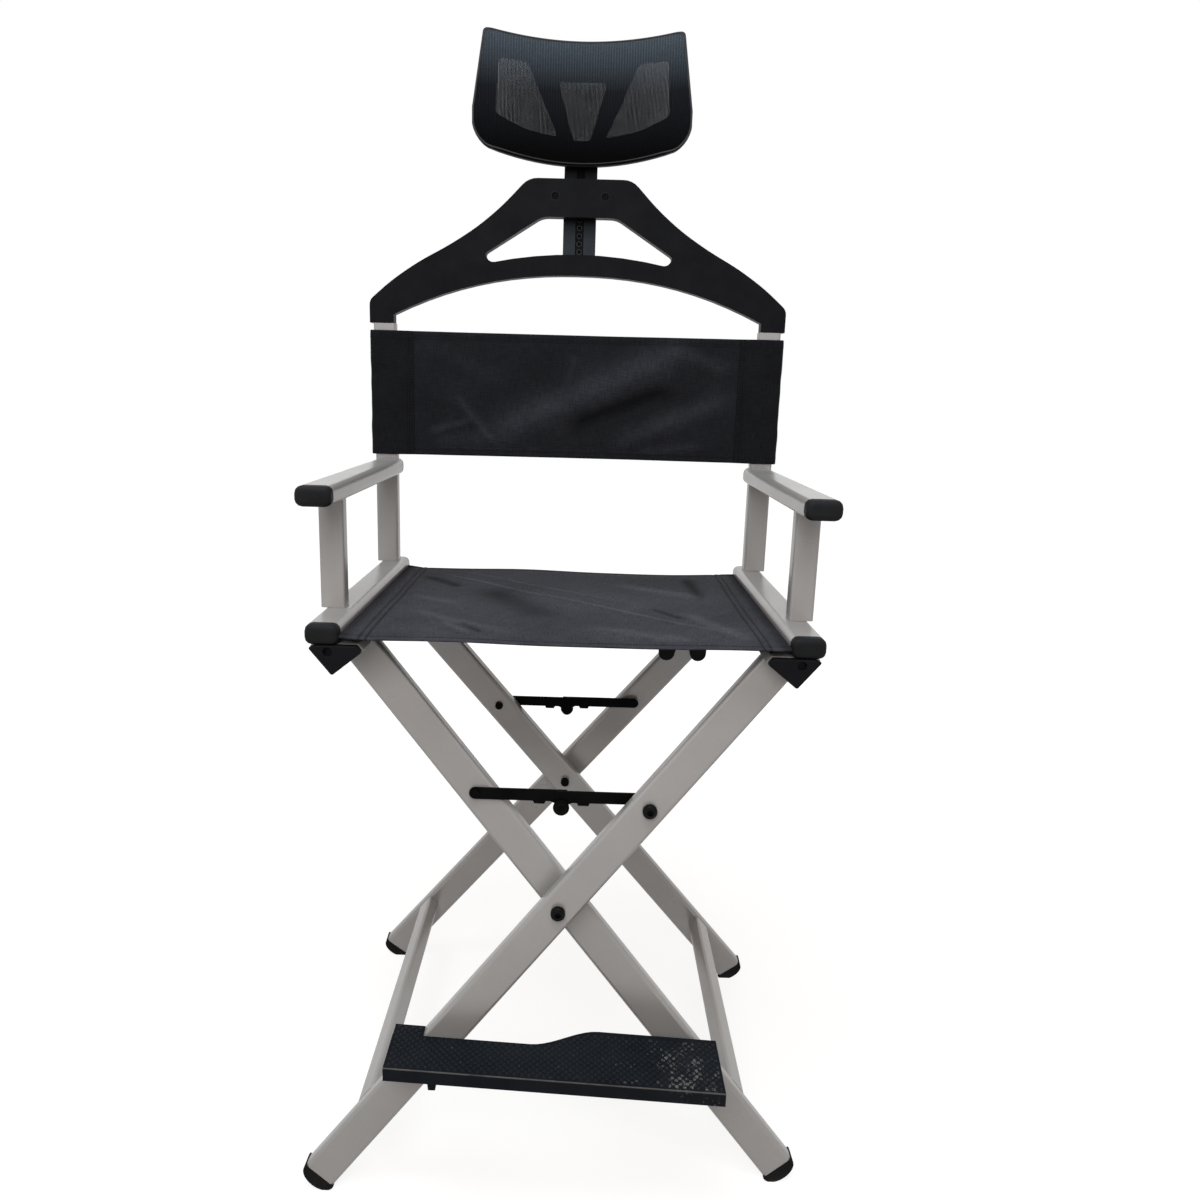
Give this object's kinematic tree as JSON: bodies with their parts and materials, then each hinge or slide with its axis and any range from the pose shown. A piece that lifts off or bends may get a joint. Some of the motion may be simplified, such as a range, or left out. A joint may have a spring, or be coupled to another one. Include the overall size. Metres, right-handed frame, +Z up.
{
  "type": "tall folding chair",
  "caption": "Tall folding chair with crossed tube legs, cloth sling seat and back, armrests, flip-up footrest and a mesh headrest on a moulded arch.",
  "frame": {"origin": "on the floor, under the middle of the chair's box", "axes": "+Z up, the chair faces -Y, +X to the sitter's left"},
  "size_m": [0.6168, 0.5127, 1.4608],
  "materials": {
    "satin_aluminium": "satin anodised",
    "black_plastic": "satin moulded",
    "black_rubber": "matte",
    "black_steel": "black",
    "black_cloth": "woven",
    "black_mesh": "open mesh"
  },
  "bodies": {
    "right_side": {"right_seat_rail": "satin_aluminium", "right_rail_front_cap": "black_plastic", "right_rail_rear_cap": "black_plastic", "right_front_post": "satin_aluminium", "right_rear_post": "satin_aluminium", "right_armrest": "satin_aluminium", "right_armrest_front_cap": "black_plastic", "right_armrest_rear_cap": "black_plastic", "seat_sling": "black_cloth", "back_sling": "black_cloth"},
    "left_side": {"left_seat_rail": "satin_aluminium", "left_rail_front_cap": "black_plastic", "left_rail_rear_cap": "black_plastic", "left_front_post": "satin_aluminium", "left_rear_post": "satin_aluminium", "left_armrest": "satin_aluminium", "left_armrest_front_cap": "black_plastic", "left_armrest_rear_cap": "black_plastic"},
    "outer_legs": {"right_hinge_tube": "satin_aluminium", "right_hinge_rod": "black_steel", "right_hinge_front_cap": "black_plastic", "right_hinge_rear_cap": "black_plastic", "outer_front_leg": "satin_aluminium", "outer_front_foot": "black_rubber", "outer_rear_leg": "satin_aluminium", "outer_rear_foot": "black_rubber", "outer_stretcher": "satin_aluminium", "front_crossing_bolt": "black_steel", "front_brace_bolt": "black_steel", "rear_crossing_bolt": "black_steel", "rear_brace_bolt": "black_steel", "leg_clip": "black_plastic"},
    "inner_legs": {"left_hinge_tube": "satin_aluminium", "left_hinge_rod": "black_steel", "left_hinge_front_cap": "black_plastic", "left_hinge_rear_cap": "black_plastic", "inner_front_leg": "satin_aluminium", "inner_front_foot": "black_rubber", "inner_rear_leg": "satin_aluminium", "inner_rear_foot": "black_rubber", "inner_stretcher": "satin_aluminium", "front_brace_rivet": "black_steel", "rear_brace_rivet": "black_steel", "footrest_pivot_bolt": "black_steel"},
    "front_left_link": {"front_brace_left_link": "black_steel"},
    "rear_left_link": {"rear_brace_left_link": "black_steel"},
    "front_right_link": {"front_brace_right_link": "black_steel", "front_brace_knob": "black_steel"},
    "rear_right_link": {"rear_brace_right_link": "black_steel", "rear_brace_knob": "black_steel"},
    "footrest": {"footrest_plate": "black_plastic"},
    "hanger": {"headrest_hanger": "black_plastic", "hanger_left_screw": "black_steel", "hanger_right_screw": "black_steel", "headrest_post_clamp": "black_plastic"},
    "headrest_post": {"headrest_post": "black_plastic", "headrest_tilt_pin": "black_steel"},
    "headrest": {"headrest_frame": "black_plastic", "headrest_mesh": "black_mesh"}
  },
  "joints": [
    {"name": "fold", "type": "hinge", "parent": "right_side", "child": "outer_legs", "pos_m": [0.284, 0.0185, 0.6905], "axis": [0, -1, 0], "range_deg": [0, 27], "deforming": ["seat_sling", "back_sling"]},
    {"name": "crossing", "type": "hinge", "parent": "outer_legs", "child": "inner_legs", "pos_m": [0, 0.0185, 0.3712], "axis": [0, -1, 0], "range_deg": [-54.1, 0]},
    {"name": "left_hinge", "type": "hinge", "parent": "inner_legs", "child": "left_side", "pos_m": [-0.284, 0.0185, 0.6905], "axis": [0, -1, 0], "range_deg": [0, 27.1]},
    {"name": "front_left_link_pivot", "type": "hinge", "parent": "inner_legs", "child": "front_left_link", "pos_m": [-0.10542, 0.0185, 0.50072], "axis": [0, -1, 0], "range_deg": [0, 104.92]},
    {"name": "front_right_link_pivot", "type": "hinge", "parent": "outer_legs", "child": "front_right_link", "pos_m": [0.10542, 0.0185, 0.50072], "axis": [0, -1, 0], "range_deg": [-104.92, 0]},
    {"name": "rear_left_link_pivot", "type": "hinge", "parent": "inner_legs", "child": "rear_left_link", "pos_m": [-0.10542, 0.0185, 0.50072], "axis": [0, -1, 0], "range_deg": [0, 104.92]},
    {"name": "rear_right_link_pivot", "type": "hinge", "parent": "outer_legs", "child": "rear_right_link", "pos_m": [0.10542, 0.0185, 0.50072], "axis": [0, -1, 0], "range_deg": [-104.92, 0]},
    {"name": "footrest_flip", "type": "hinge", "parent": "inner_legs", "child": "footrest", "pos_m": [0.15139, -0.1715, 0.1852], "axis": [0, 1, 0], "range_deg": [0, 48.1]},
    {"name": "hanger_lift", "type": "slide", "parent": "right_side", "child": "hanger", "axis": [0, 0, 1], "range_m": [0, 0.755]},
    {"name": "headrest_height", "type": "slide", "parent": "hanger", "child": "headrest_post", "axis": [0, 0, 1], "range_m": [0, 0.05]},
    {"name": "headrest_tilt", "type": "hinge", "parent": "headrest_post", "child": "headrest", "pos_m": [0, 0.2035, 1.312], "axis": [1, 0, 0], "range_deg": [-12, 12]}
  ],
  "couplings": [
    {"joint": "crossing", "follows": "fold", "ratio": -2},
    {"joint": "left_hinge", "follows": "fold", "ratio": 1},
    {"joint": "front_left_link_pivot", "follows": "fold", "ratio": 3.8784},
    {"joint": "front_right_link_pivot", "follows": "fold", "ratio": -3.8784},
    {"joint": "rear_left_link_pivot", "follows": "fold", "ratio": 3.8784},
    {"joint": "rear_right_link_pivot", "follows": "fold", "ratio": -3.8784},
    {"joint": "footrest_flip", "follows": "fold", "ratio": 1.7778},
    {"joint": "hanger_lift", "follows": "fold", "m_per_rad": 1.6}
  ]
}
